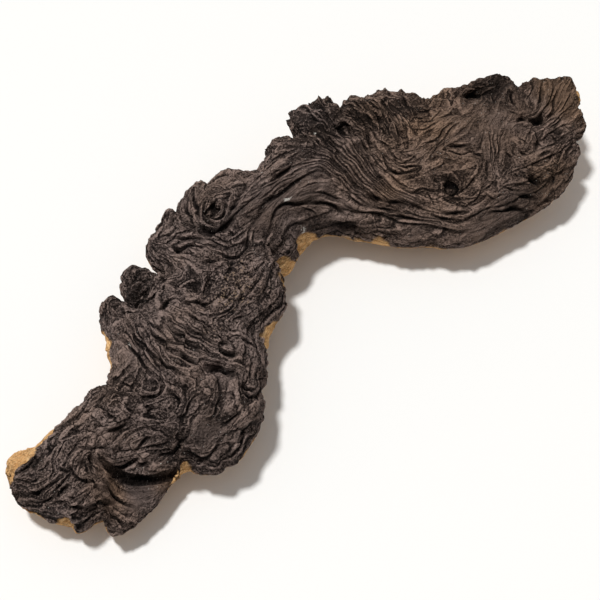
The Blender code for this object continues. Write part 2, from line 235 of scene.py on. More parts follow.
# The knobs, the stub of a side branch, the hollows and the folds of the top. The outer wood shrank
# and weathered in folds, which run round the stub and the knot and open into clefts where one layer
# hangs over the next. Knobs and hollows are x, y, radius along x, radius along y and height in mm, and
# a drawn line is x, y, x, y and so on.
KNOBS_AND_HOLLOWS = [
    (-92, 47, 7, 8, 6), (-73, 53, 8, 8, 8), (-76, 40, 7, 4, -8), (-84, 42, 3, 7, -7),
    (-20, 52, 12, 11, 7), (-20, 51, 4, 4, -7), (-45, 13, 9, 8, -4), (-72, -29, 6, 4, -6),
    (-154, -33, 5, 9, 3), (-96, -55, 10, 8, 2), (70, 84, 14, 7, 3), (76, 58, 6, 9, -8),
    (84, 35, 6, 4, -4), (113, 50, 9, 5, -2), (101, -10, 3, 3, -3.5), (162, 36, 13, 6, -9),
    (143, 38, 2, 2, -2), (175, -1, 5, 3, -4), (158, -33, 5, 4, 3),
]

GAPS = [
    [-150, -33, -145, -38, -141, -42, -138, -45, -133, -49, -127, -53, -119, -55, -113, -57],
    [-35, 54, -33, 49, -32, 45, -29, 41, -25, 38, -19, 37, -14, 39, -10, 43],
]

CLEFTS = [
    [-85, -8, -83, -13, -81, -16, -79, -22], [-75, -27, -71, -29, -68, -33, -64, -36],
    [-65, -20, -64, -24, -61, -28, -58, -29], [33, 18, 37, 16, 41, 13, 45, 9, 50, 4],
    [64, 8, 68, 4, 70, 2, 72, -1, 75, -5], [76, 66, 75, 58, 76, 54, 78, 51],
    [98, -9, 100, -7, 103, -8, 104, -11, 102, -13, 99, -12, 98, -9],
    [153, 39, 160, 40, 163, 37, 168, 36, 173, 33, 177, 34], [171, 2, 175, -2, 180, 0],
    [149, -26, 150, -29, 150, -33], [135, -32, 138, -34, 142, -36, 145, -37], [-82, 39, -77, 37, -71, 38],
    [-48, 49, -47, 45], [-21, 52, -21, 49],
]

CREASES = [
    [-149, -31, -150, -34, -150, -38, -148, -40], [-162, -29, -162, -32, -161, -39, -157, -43, -153, -46],
    [-93, 29, -95, 19, -95, 5, -94, -11, -92, -15], [-80, 9, -78, 1, -75, -9, -73, -18],
    [-64, -42, -65, -46, -61, -49], [-103, -28, -98, -30, -98, -35, -103, -38],
    [-14, 61, -18, 62, -22, 57, -25, 52, -24, 46, -19, 44, -14, 46, -12, 50],
    [-16, 57, -19, 55, -20, 51, -18, 49], [-24, 74, -27, 70, -30, 62, -32, 53],
    [-16, 80, -21, 71, -25, 63, -28, 56, -29, 51], [-15, 40, -10, 42, -3, 44, 4, 45],
    [-150, -42, -149, -46, -148, -50, -146, -54, -143, -58], [-185, -12, -180, -13, -173, -12, -170, -9],
    [-182, -19, -180, -22, -177, -25], [-184, -25, -182, -29, -178, -29], [-177, -30, -172, -30, -166, -30],
    [-166, -25, -165, -28, -164, -31, -162, -29], [-177, -34, -174, -35, -170, -33, -164, -33, -162, -31],
    [-182, -32, -180, -35, -176, -37], [-175, -39, -171, -37, -166, -37],
    [-174, -41, -173, -45, -170, -48, -166, -50, -163, -51], [-166, -50, -159, -50, -155, -52, -151, -52],
    [-152, -24, -148, -27, -144, -29, -142, -31, -138, -34],
    [-144, -34, -144, -38, -141, -40, -137, -41, -128, -41], [-138, -18, -137, -21, -135, -23],
    [-132, -16, -131, -19, -128, -21, -126, -23], [-136, -25, -134, -27, -130, -28, -124, -28],
    [-130, -38, -126, -38, -121, -37, -118, -39], [-132, -42, -130, -45, -126, -46],
    [-154, -54, -154, -58, -152, -64], [-114, -19, -112, -22, -108, -24, -105, -25, -101, -23, -100, -20],
    [-102, 24, -101, 18, -101, 10, -101, 2, -102, -6, -102, -13, -101, -17],
    [-93, 0, -93, -7, -93, -14, -91, -18, -90, -22, -87, -25], [-88, 14, -87, 5, -86, -1, -85, -8],
    [-85, 1, -83, -3, -80, -7, -77, -11, -75, -17, -75, -21], [-72, -1, -70, -6, -68, -11, -65, -19],
    [-81, -21, -77, -21, -75, -24], [-65, 15, -63, 11, -60, 8, -56, 6, -51, 4],
    [-61, -5, -57, -4, -51, -5, -47, -6, -43, -4, -38, -2],
    [-121, -45, -117, -48, -112, -51, -108, -52, -105, -51, -101, -48],
    [-114, -52, -110, -55, -107, -61, -105, -63, -102, -65, -99, -65, -95, -63, -89, -62],
    [-105, -41, -102, -43, -99, -43, -95, -39, -91, -37, -87, -39],
    [-95, -48, -93, -50, -91, -52, -87, -51, -85, -49, -81, -45, -78, -42, -75, -37, -75, -31],
    [-90, -55, -87, -56, -84, -57, -79, -57, -75, -56, -72, -54], [-82, -64, -77, -63, -71, -61, -66, -60],
    [-65, -43, -67, -47, -66, -51, -63, -51, -60, -49], [-54, -35, -57, -39, -61, -43],
    [-66, -19, -63, -20, -58, -21], [-13, 45, -9, 46, -4, 49],
    [-36, 33, -33, 27, -31, 22, -27, 20, -22, 20, -17, 22, -13, 26, -9, 30, -5, 32],
    [-50, 52, -47, 47, -43, 43, -38, 39, -35, 36], [-42, 27, -38, 24, -35, 23], [-60, 28, -58, 26, -54, 27],
    [-78, 18, -75, 18, -72, 20, -68, 20, -66, 18],
    [-11, 39, -7, 38, -4, 36, -1, 36, 3, 38, 7, 40, 11, 41, 17, 40, 30, 40, 40, 40, 45, 39, 48, 36, 51, 33],
    [-19, 36, -19, 33, -16, 32], [17, 49, 23, 50, 29, 49, 33, 50, 37, 52],
    [0, 25, 3, 27, 7, 30, 10, 32, 15, 33, 19, 32, 23, 30, 29, 29, 35, 28], [30, 28, 37, 25, 41, 20, 45, 15],
    [58, 12, 60, 9, 61, 5, 64, 0, 68, -3, 70, -6], [60, 13, 63, 10, 66, 6], [71, 22, 71, 17, 72, 14],
    [81, 28, 79, 23, 78, 17, 80, 12, 84, 10, 90, 8, 95, 9], [84, 48, 81, 43, 80, 37, 80, 32],
    [79, 1, 81, -1, 87, -1, 89, -3, 92, -7, 95, -9], [84, -15, 87, -20, 90, -23, 94, -26],
    [88, -16, 92, -21, 97, -23, 101, -26], [111, -32, 116, -33, 123, -35, 130, -35, 134, -38],
    [120, -34, 127, -35, 130, -36, 133, -38, 137, -40], [115, 10, 121, 6, 126, 4],
    [125, 0, 127, -3, 129, -5], [101, 69, 101, 65, 103, 55, 106, 51],
    [159, -28, 161, -29, 163, -32, 161, -36, 157, -36], [163, 4, 167, 4, 171, 2], [66, 61, 67, 55, 69, 49],
    [62, 58, 62, 51, 61, 44, 62, 37], [56, 61, 56, 55, 56, 50], [83, 44, 81, 41, 80, 35], [88, 58, 91, 57],
    [170, 13, 171, 18, 174, 21, 177, 22], [-25, 48, -24, 52, -20, 54, -15, 55, -11, 54, -6, 53],
    [-45, 56, -42, 51, -38, 45, -35, 39],
]

HAIR_CREASES = [
    [-176, -21, -172, -22, -170, -21, -168, -18], [-171, -40, -168, -43, -164, -45, -159, -45],
    [-144, -17, -142, -21, -139, -24], [-150, -3, -146, -5, -142, -5, -138, -1, -132, 1],
    [-140, -3, -138, -6, -133, -5], [-116, -5, -115, -9, -113, -13], [-96, 24, -96, 14, -97, 9, -97, 0],
    [-80, 9, -79, 4, -77, 0], [-77, 5, -76, -1, -75, -7], [-69, 8, -66, 2, -63, -5, -61, -12],
    [-53, 10, -50, 14, -47, 16], [-57, -8, -55, -6, -49, -7], [-51, -13, -48, -11, -42, -11, -36, -11],
    [-47, -21, -42, -17, -36, -15], [-101, -48, -98, -45, -94, -45], [-88, -35, -85, -31, -83, -30],
    [-57, -19, -53, -21, -51, -23], [-40, 49, -37, 44, -34, 40], [-44, 40, -43, 35],
    [-63, 26, -62, 22, -58, 20], [-82, 32, -78, 30, -72, 30, -68, 32], [-92, 33, -87, 30, -83, 28],
    [-5, 45, -2, 46, 1, 44, 5, 44, 10, 45], [-7, 49, -3, 50, 0, 49], [9, 48, 13, 49, 17, 49],
    [23, 53, 27, 51], [10, 54, 17, 56, 23, 55], [18, 59, 23, 60, 30, 60], [10, 21, 13, 23, 18, 23, 23, 22],
    [25, 28, 29, 25, 31, 22], [29, 36, 33, 36, 39, 35, 43, 31], [27, 32, 33, 31, 40, 28, 45, 22, 49, 16],
    [-15, 21, -11, 24, -7, 28], [-40, 42, -37, 38, -34, 35], [-21, 16, -17, 16], [-27, 16, -25, 12],
    [-21, 8, -17, 9, -13, 10], [-30, 58, -27, 62, -23, 64, -19, 63],
    [40, 21, 46, 16, 50, 12, 56, 6, 61, 0, 68, -8, 73, -13, 79, -18, 84, -23, 90, -29, 95, -32, 101, -35],
    [44, 21, 50, 13, 54, 8, 60, 1, 66, -5], [50, 20, 53, 14, 57, 9],
    [50, 13, 57, 5, 63, -1, 69, -6, 75, -11, 81, -17, 87, -23], [52, 21, 55, 16, 57, 14],
    [61, 23, 60, 19, 60, 14], [63, 21, 65, 16, 68, 9], [57, 37, 57, 32, 59, 29], [66, 43, 66, 37, 67, 31],
    [71, 41, 70, 35, 70, 30, 68, 23], [81, 18, 84, 15, 88, 12, 93, 10, 97, 12],
    [83, 21, 86, 17, 91, 15, 95, 15], [87, 24, 91, 20, 95, 19],
    [104, 19, 109, 17, 116, 19, 121, 21, 126, 21], [102, 12, 109, 13, 115, 15, 119, 17, 124, 19, 130, 19],
    [109, 37, 112, 32, 117, 30, 123, 31, 128, 33], [106, 30, 110, 26, 116, 26, 123, 26],
    [116, 40, 120, 38, 125, 38, 131, 40], [103, -15, 106, -16, 112, -14, 118, -13],
    [73, -6, 77, -11, 81, -15, 85, -19], [76, -17, 81, -21, 87, -26, 92, -30, 99, -33],
    [99, -23, 106, -23, 112, -23, 118, -19, 121, -19], [97, -28, 102, -29, 108, -30, 119, -30],
    [113, 9, 116, 6, 119, 2, 123, 1], [116, -23, 118, -26, 120, -28], [88, -6, 88, -10, 88, -13],
    [95, 1, 96, -2, 99, -4], [107, 35, 110, 38, 114, 38, 117, 34, 120, 31],
    [119, 45, 120, 41, 123, 37, 129, 37, 134, 39, 139, 42], [81, 70, 85, 66, 87, 61], [90, 70, 91, 66],
    [97, 47, 94, 41, 92, 34], [101, 49, 99, 42, 97, 34, 93, 27], [93, 47, 90, 41, 87, 38],
    [150, 44, 155, 47, 160, 46], [165, 29, 163, 26, 160, 22], [165, 6, 164, 9, 163, 12],
    [157, -4, 157, -8, 158, -12], [169, -4, 167, -8, 165, -12, 166, -18],
    [172, -9, 177, -10, 184, -10, 191, -8], [175, -14, 177, -17, 176, -20],
    [180, -3, 187, -2, 193, 4, 200, 9], [179, 4, 184, 8, 191, 14, 197, 19],
    [177, 12, 183, 15, 190, 20, 195, 26], [183, 2, 190, 4, 197, 10, 203, 15],
    [187, -5, 193, -4, 200, 0, 207, 4], [127, -18, 130, -12, 133, -7, 136, -4, 140, 1],
    [143, -10, 145, -14], [151, -12, 155, -16], [140, -22, 142, -25], [129, -25, 133, -27, 134, -30],
]

# Lines that steer the fine grain and leave no fold of their own.
GRAIN_LINES = [
    [58, 76, 64, 69, 65, 52, 65, 32, 68, 8, 75, -6, 97, -27],
    [74, 76, 77, 67, 75, 50, 73, 35, 71, 16, 77, -2, 95, -20],
    [46, 76, 54, 64, 57, 50, 57, 36, 58, 22, 62, 8, 70, -5],
    [20, 42, 27, 44, 41, 43, 49, 38, 51, 22, 55, 9, 65, -1, 85, -23],
    [26, 52, 33, 51, 48, 47, 55, 38, 57, 22, 61, 8, 70, -5],
    [145, 49, 139, 44, 134, 39, 126, 33, 116, 30, 106, 30],
    [140, 36, 132, 28, 124, 24, 116, 21, 106, 19],
    [110, 60, 113, 54, 110, 41, 104, 26],
    [103, 76, 106, 60, 104, 44, 98, 28],
    [92, 78, 93, 62, 93, 50, 90, 36],
    [150, 12, 142, 7, 135, -4, 126, -21],
    [157, 8, 148, 3, 140, -8, 130, -19],
    [160, -10, 163, -6, 176, 1, 181, 2, 207, 14],
    [160, -16, 165, -15, 177, -15, 196, -16],
    [85, -28, 98, -30, 113, -34, 130, -37, 155, -39, 180, -30],
    [162, 50, 173, 42, 171, 25, 166, 14],
    [-2, 51, 5, 51, 12, 50, 26, 52, 39, 50],
    [-6, 48, 4, 45, 17, 44, 29, 46, 41, 43],
    [-47, 49, -38, 47, -33, 39, -29, 30],
    [-51, 49, -45, 41, -41, 32, -37, 24],
    [-55, 48, -50, 39, -48, 27],
    [-28, 23, -19, 26, -11, 31, -1, 36, 6, 36, 14, 37],
    [-169, -30, -163, -24, -155, -21, -145, -17],
    [-165, -41, -156, -37, -147, -31, -138, -26],
    [-91, 27, -94, 17, -95, 11, -98, -3, -99, -14],
    [-81, 25, -86, 11, -86, 3, -87, -11, -86, -24],
    [-76, 19, -76, 7, -75, -1, -70, -18, -67, -27],
    [-69, 12, -67, 4, -64, -2, -60, -17, -55, -29],
]

# Where the wood is combed out, long fine grooves lie side by side between two of the grain lines: the
# numbers of the two lines, counted from 0, and how many grooves lie between them.
COMBED = [
    (3, 4, 3), (4, 2, 4), (2, 0, 4), (0, 1, 4), (1, 9, 4), (9, 8, 3), (8, 7, 3), (10, 11, 3), (12, 13, 4),
    (13, 14, 4), (16, 17, 2), (17, 21, 4), (18, 19, 2), (19, 20, 2), (22, 23, 3), (24, 25, 3),
    (25, 26, 3), (26, 27, 3),
]
COMB_POINTS = 12


def rounded(line):
    """The line with its corners rounded: every run is cut at a quarter and three quarters, twice."""
    points = np.array(line, float).reshape(-1, 2)
    for _ in range(2):
        quarter = points[:-1] * 0.75 + points[1:] * 0.25
        three_quarters = points[:-1] * 0.25 + points[1:] * 0.75
        cut = np.stack([quarter, three_quarters], axis=1).reshape(-1, 2)
        points = np.concatenate([points[:1], cut, points[-1:]])
    return points


def combed_out(first, second, count, random):
    """Lines that lie evenly between two others. Each keeps a stretch of its own, and wavers a little."""
    ends = []
    for points in (rounded(GRAIN_LINES[first]), rounded(GRAIN_LINES[second])):
        length = np.concatenate([[0], np.cumsum(np.hypot(*np.diff(points, axis=0).T))])
        wanted = np.linspace(0, 1, COMB_POINTS) * length[-1]
        ends.append(np.stack([np.interp(wanted, length, column) for column in points.T], axis=1))
    made = []
    for share in (np.arange(count) + 0.5) / count:
        start, stop = random.integers(0, 4), random.integers(8, COMB_POINTS)
        waver = random.uniform(-0.5, 0.5, (COMB_POINTS, 2))
        made.append((ends[0] * (1 - share) + ends[1] * share + waver)[start:stop + 1])
    return made


random = np.random.default_rng(41)
combed_lines = [line for pair in COMBED for line in combed_out(*pair, random)]

# Half width and depth of the groove in mm, half width of its black bottom in mm (painted shade), how
# black that painted shade is, and the lines themselves. Folds that lie near each other are of different
# families. FAR is the distance that stands for no fold at all.
FOLDS = [
    (1.4, 2.5, 1.5, 1.0, GAPS[:1]),
    (1.6, 4.0, 2.4, 1.0, GAPS[1:]),
    (1.5, 4.5, 1.7, 1.0, CLEFTS),
    (1.0, 2.6, 1.0, 1.0, CREASES),
    (0.8, 1.4, 0.65, 0.9, HAIR_CREASES),
    (0.7, 1.4, 0.6, 0.8, combed_lines),
]
FAMILIES = 6
FLOW_REACH, FLOW_MARGIN = 5.0, 12.0
GRAIN_REACH, GRAIN_PULL = 8.0, 2.0
GROOVE_SHARE, DIP_SHARE, DIP_WIDTH = 0.75, 0.25, 2.6
PROUD_SHARE, PROUD_REACH, PROUD_START = 0.3, 2.5, 0.7
FAR = 9.0


def nearest_on_line(x, y, points):
    """Distance of each point to the line, positive on its left, its place along the line from 0 to 1,
    and the direction of the run that is nearest."""
    start, run = points[:-1], np.diff(points, axis=0)
    length = np.maximum(np.hypot(run[:, 0], run[:, 1]), 1e-6)
    way = run / length[:, None]
    from_x, from_y = x[:, None] - start[:, 0], y[:, None] - start[:, 1]
    part = np.clip(from_x * way[:, 0] + from_y * way[:, 1], 0, length)
    away = np.hypot(from_x - part * way[:, 0], from_y - part * way[:, 1])
    nearest = away.argmin(axis=1)
    pick = (np.arange(len(x)), nearest)
    side = np.where(way[nearest, 0] * from_y[pick] - way[nearest, 1] * from_x[pick] < 0, -1, 1)
    begins = np.concatenate([[0], np.cumsum(length)[:-1]])
    return away[pick] * side, (begins[nearest] + part[pick]) / length.sum(), way[nearest]


def spread_out(lines):
    """A family for each line, chosen so that the lines of one family lie as far apart as they can."""
    families = [[] for _ in range(FAMILIES)]
    chosen = []
    for line in lines:
        gaps = [min([np.hypot(*(line[:, None] - other).transpose(2, 0, 1)).min() for other in family] + [99])
                for family in families]
        chosen.append(int(np.argmax(gaps)))
        families[chosen[-1]].append(line)
    return chosen


def doubled(heading):
    """The cos and sin of twice a heading's angle, which are the same for both of its ways."""
    across, up = heading[..., 0], heading[..., 1]
    return np.array([across ** 2 - up ** 2, 2 * across * up])


def folded(x, y):
    """The folds' height, their crisp black bottoms, which are painted shade, and the sums of cos and sin of
    twice their angle, which blend directions that have no front or back. A fold is a groove in a wider
    dip, with the layer behind it (+Y) standing proud. A family holds, at each point, the distance to its
    nearest fold, how near it is and how black its painted shade, and the half width of that shade."""
    height, twice = np.zeros(x.shape), np.zeros((2,) + x.shape)
    crisp = np.zeros((FAMILIES,) + x.shape + (3,))
    crisp[..., 0] = FAR
    drawn = [(*kind, rounded(line)) for *kind, lines in FOLDS for line in lines]
    for (width, depth, black, shade, line), family in zip(drawn, spread_out([fold[-1] for fold in drawn])):
        low, high = line.min(axis=0) - FLOW_MARGIN, line.max(axis=0) + FLOW_MARGIN
        near = np.nonzero((x > low[0]) & (x < high[0]) & (y > low[1]) & (y < high[1]))
        away, place, heading = nearest_on_line(x[near], y[near], line)
        strength = np.sin(np.pi * np.clip(place, 0.03, 0.97)) ** 0.5
        size = np.abs(away)
        behind = np.sign(away * heading[:, 0])
        groove = GROOVE_SHARE * np.exp(-(size / width) ** 1.5)
        dip = DIP_SHARE * np.exp(-(size / (DIP_WIDTH * width)) ** 2)
        proud = PROUD_SHARE * behind * np.exp(-size / PROUD_REACH) * (1 - np.exp(-size / PROUD_START))
        height[near] += depth * strength * (proud - groove - dip)
        held = crisp[family][near]
        nearer = size - black < np.abs(held[:, 0]) - held[:, 2]
        here = tuple(index[nearer] for index in near)
        nearness = shade * strength * np.exp(-(size / (1.0 + black)) ** 2)
        signed = np.where(behind < 0, -size, size)
        crisp[family][here] = np.stack([signed, nearness, np.full(away.shape, black)], axis=1)[nearer]
        pull = depth * np.exp(-(size / FLOW_REACH) ** 2)
        twice[(slice(None),) + near] += pull * doubled(heading)
    for grain_line in GRAIN_LINES:
        away, _, heading = nearest_on_line(x.reshape(-1), y.reshape(-1), rounded(grain_line))
        pull = GRAIN_PULL * np.exp(-(away / GRAIN_REACH) ** 2)
        twice += (pull * doubled(heading)).reshape(twice.shape)
    return height, crisp, twice


def patched(x, y, patches, sharpness=1):
    """The sum of soft round patches, each amount * exp(-((dx / rx)^2 + (dy / ry)^2)^sharpness)."""
    total = np.zeros(x.shape)
    for at_x, at_y, wide, deep, amount in patches:
        total += amount * np.exp(-(((x - at_x) / wide) ** 2 + ((y - at_y) / deep) ** 2) ** sharpness)
    return total


RIDGE_HEIGHT, RIDGE_SPACING = 0.9, 11
x, y = wood[..., 0].copy(), wood[..., 1].copy()
knobs = patched(x, y, KNOBS_AND_HOLLOWS)
wander = 3.5 * np.sin(x / 19) + 2.5 * np.sin(x / 8.5 + y / 14)
ridges = RIDGE_HEIGHT * np.cos(2 * np.pi * (y - middle_y + wander) / RIDGE_SPACING)
fold_height, crisp, twice_angle = folded(x, y)
inward = np.clip((rise + 0.1) / 0.3, 0, 1)
wood[..., 2] += (knobs + ridges) * np.clip(rise / 0.3, 0, 1)
stand_on_feet(wood, rise)
crisp[..., 1] *= inward

# The foot's lower layer lies bare as a shelf, and the layer above ends over it in a lip with a gap
# beneath, painted black as shade, which follows the first of the gaps. Heights are in mm. The shelf
# climbs toward the gap's left end, and the slope rises behind the lip.
SHELF_HEIGHT, SHELF_CLIMB, CLIMB_SHARE = 15.5, 8.0, 0.4
LIP_HEIGHT, LIP_SLOPE, LIP_DEPTH = 5.0, 0.8, 1.0
GAP_MIDDLE, GAP_REACH, GAP_BACK = -135, 30, -12
around_gap = np.nonzero((np.abs(x - GAP_MIDDLE) < GAP_REACH) & (y < GAP_BACK) & (rise > 0))
behind, place_along, _ = nearest_on_line(x[around_gap], y[around_gap], rounded(GAPS[0]))
ceiling = SHELF_HEIGHT + SHELF_CLIMB * np.clip(1 - place_along / CLIMB_SHARE, 0, 1)
ceiling += LIP_HEIGHT * np.clip(behind / LIP_DEPTH, 0, 1)
ceiling += LIP_SLOPE * np.maximum(behind - LIP_DEPTH, 0)
held = np.clip(np.minimum(place_along / 0.3, (1 - place_along) / 0.1), 0, 1)
here = wood[around_gap][:, 2]
wood[around_gap + (2,)] = here + held * (np.minimum(here, ceiling) - here)


# The fine ridges, which run with the folds. Weathering left the hard layers of the root standing as
# ridges a few mm apart, closed up into knots in places, with crusty pits where the wood is burled.
# Heights are in mm.
NOISE_CELLS = 32
LENGTHWISE = 0.15
LAYERS_EACH = 0.9
LAYER_HEIGHT, SEAM_HEIGHT, PLATE_HEIGHT, CRUMB_HEIGHT, LUMP_HEIGHT = 1.5, 0.9, 1.0, 0.7, 0.7


def value_noise(points, spacing, seed):
    """Smooth noise from -1 to 1 in space: random values at the corners of cubes, eased between them."""
    table = np.random.default_rng(seed).uniform(-1, 1, (NOISE_CELLS,) * 3)
    scaled = points / spacing
    corner = np.floor(scaled).astype(int)
    part = scaled - corner
    part = part * part * (3 - 2 * part)
    total = np.zeros(points.shape[:-1])
    for step in np.ndindex(2, 2, 2):
        weight = np.prod(np.where(np.array(step) == 1, part, 1 - part), axis=-1)
        at = (corner + step) % NOISE_CELLS
        total += weight * table[at[..., 0], at[..., 1], at[..., 2]]
    return total


def grid_directions(points):
    """The two directions of the grid and its unit normals, which are their cross product."""
    ahead = np.gradient(points, axis=0)
    round_it = (np.roll(points, -1, axis=1) - np.roll(points, 1, axis=1)) / 2
    normal = np.cross(round_it, ahead)
    return ahead, round_it, normal / np.maximum(np.linalg.norm(normal, axis=2, keepdims=True), 1e-9)


def flow_steps(points, twice, upper):
    """The direction of the flow as a unit vector in the surface, and as rows and columns for each mm.
    Away from the folds it runs lengthwise."""
    ahead, round_it, normal = grid_directions(points)
    heading = ahead[..., :2] / np.maximum(np.linalg.norm(ahead, axis=2), 1e-9)[..., None]
    cosine, sine = twice * upper + LENGTHWISE * doubled(heading)
    angle = np.arctan2(sine, cosine) / 2
    flow = np.stack([np.cos(angle), np.sin(angle), np.zeros(angle.shape)], axis=-1)
    flow *= np.where((flow * ahead).sum(axis=2) < 0, -1, 1)[..., None]
    flow -= normal * (flow * normal).sum(axis=2, keepdims=True)
    flow /= np.maximum(np.linalg.norm(flow, axis=2, keepdims=True), 1e-9)
    first, mixed = (ahead * ahead).sum(axis=2), (ahead * round_it).sum(axis=2)
    second = (round_it * round_it).sum(axis=2)
    along_rows, along_columns = (flow * ahead).sum(axis=2), (flow * round_it).sum(axis=2)
    size = np.maximum(first * second - mixed ** 2, 1e-6)
    rows = (along_rows * second - along_columns * mixed) / size
    columns = (along_columns * first - along_rows * mixed) / size
    return flow, (np.clip(rows, -4, 4), np.clip(columns, -4, 4))


def drawn_out(noise, steps, reach):
    """The noise averaged along the flow for reach mm both ways, so that spots become long ridges."""
    count, around = noise.shape
    total = noise.copy()
    for way in (1, -1):
        at_row, at_column = np.indices(noise.shape)
        row, column = at_row.astype(float), at_column.astype(float)
        last_rows, last_columns = steps[0] * way, steps[1] * way
        for step in range(1, reach + 1):
            rows, columns = steps[0][at_row, at_column], steps[1][at_row, at_column]
            turned = np.where(rows * last_rows + columns * last_columns < 0, -1, 1)
            last_rows, last_columns = rows * turned, columns * turned
            row, column = row + last_rows, column + last_columns
            at_row = np.clip(np.rint(row), 0, count - 1).astype(int)
            at_column = np.rint(column).astype(int) % around
            total += noise[at_row, at_column] * (0.5 + 0.5 * np.cos(np.pi * step / (reach + 1)))
    return total / total.std()


def billows(streaks):
    """Rounded ridges with sharp grooves between them, from 0 in a groove to about 1 on a crest."""
    return np.minimum(np.abs(streaks), 1.6) ** 0.65 / 1.2


def shingled(levels):
    """Layers that overlap like shingles: in each whole level the height climbs evenly from 0 to 1, and
    over the last fifth it drops back to 0."""
    part = levels - np.floor(levels)
    return np.minimum(part / 0.8, (1 - part) / 0.2)


def patchy(patches):
    """The sum of soft patches from 0 to 1, on the upper side alone."""
    return np.clip(patched(x, y, patches), 0, 1) * upper


# Where the wood is worn smooth: x, y, radii in mm, amount.
CALM_PATCHES = [
    (12, 40, 20, 6, 0.9), (0, 32, 10, 8, 0.5), (-96, -55, 9, 7, 1.0), (-105, 4, 6, 16, 0.7),
    (-130, -58, 16, 6, 0.8), (-18, 74, 14, 8, 0.4), (70, 36, 8, 16, 0.4), (199, 6, 14, 22, 0.6),
    (115, -36, 50, 7, 1.0), (-74, -38, 10, 8, 0.5), (150, 14, 14, 12, 0.3), (-137, -52, 14, 7, 0.9),
    (48, -2, 12, 7, 0.6), (74, -18, 14, 7, 0.6), (30, 34, 36, 20, 0.8), (150, 8, 60, 36, 0.65),
]
upper = np.clip((rise + 0.15) / 0.3, 0, 1)
calm = patchy(CALM_PATCHES)
flow, steps = flow_steps(wood, twice_angle, upper)
layers = drawn_out(value_noise(wood, 8.0, 31) + 0.12 * value_noise(wood, 3.0, 33), steps, 30)
narrow_seams = drawn_out(value_noise(wood, 3.0, 5), steps, 12)
broad, narrow = shingled(LAYERS_EACH * layers), billows(narrow_seams)
plate_edges = drawn_out(value_noise(wood, 9.0, 21) + 0.35 * value_noise(wood, 2.6, 23), steps, 5)
plates = np.clip(0.5 + plate_edges / 0.25, 0, 1)
crumbs = value_noise(wood, 1.7, 7) * 0.6 + value_noise(wood, 3.2, 9) * 0.4
lumps = value_noise(wood, 13.0, 11)
at_edge = np.exp(-(rise / 0.22) ** 2)
layered = LAYER_HEIGHT * (broad - 0.5) + SEAM_HEIGHT * (narrow - 0.6)
broken = PLATE_HEIGHT * (plates - 0.5) + CRUMB_HEIGHT * crumbs
height = fold_height * inward + layered * (1 - 0.6 * calm) + broken * (1 - 0.5 * calm) + LUMP_HEIGHT * lumps
height += at_edge * (1.4 * value_noise(wood, 5.0, 17) + 1.5 * value_noise(wood, 2.2, 19))
under_height = 0.5 * (narrow - 0.6) + 0.8 * lumps + 0.25 * crumbs
height = height * upper + under_height * (1 - upper)
floor_gap = np.clip(wood[..., 2] / 3, 0, 1)
normals = grid_directions(wood)[2]
from_end = np.arange(len(wood))
ends = np.clip(np.minimum(from_end, from_end[::-1]) / 6, 0, 1)[:, None]

# Where sand has taken the dark outer wood off, the pale heartwood shows: all over the underside, and
# up over the edge in places, given as x, y, radii in mm and how far up, from PALE_START.
PALE_START, PALE_DEPTH = -0.2, 0.9
PALE_PATCHES = [
    (-180, -3, 14, 10, 1.5), (-164, 1, 11, 6, 1.0), (-189, -20, 5, 16, 0.8), (-176, -46, 10, 5, 0.35),
    (-116, -59, 6, 3, 0.8), (-107, 34, 4, 14, 0.7), (-113, 17, 4, 9, 0.8), (-30, -19, 18, 5, 0.7),
    (-11, 3, 6, 5, 0.7), (0, 12, 10, 3, 0.7), (18, 19, 10, 4, 0.7), (57, -5, 14, 5, 0.4),
    (209, 3, 4, 7, 1.1),
]
ragged = 0.12 * value_noise(wood, 8.0, 13) + 0.1 * value_noise(wood, 3.0, 15)
pale_level = PALE_START + patched(x, y, PALE_PATCHES, 2)
pale = np.clip((pale_level - rise + ragged) / 0.1, 0, 1)
height -= PALE_DEPTH * pale * upper

wood = wood + normals * (height * floor_gap * ends)[..., None]
wood[..., 2] = np.maximum(wood[..., 2], 0)

# Thin splinters stand out from the back edge of the fan: x, y, then how far each reaches in x, y and z.
SPLINTERS = [
    (59, 87, -1.5, 4.0, 0.5), (63, 90, -0.5, 3.5, 0.5), (78, 82, 0.0, 3.0, 3.0), (84, 81, 1.0, 2.0, 2.0),
    (108, 68, 0.5, 2.0, 4.0), (111, 67, 0.5, 1.0, 2.5), (115, 66, 0.0, 2.0, 4.0),
    (123, 62, 1.0, 2.0, 2.5),
]
SPLINTER_RADII = (1.0, 2.5)
for at_x, at_y, *reach in SPLINTERS:
    splinter = patched(x, y, [(at_x, at_y, *SPLINTER_RADII, 1.0)]) * upper
    wood += np.array(reach) * splinter[..., None]
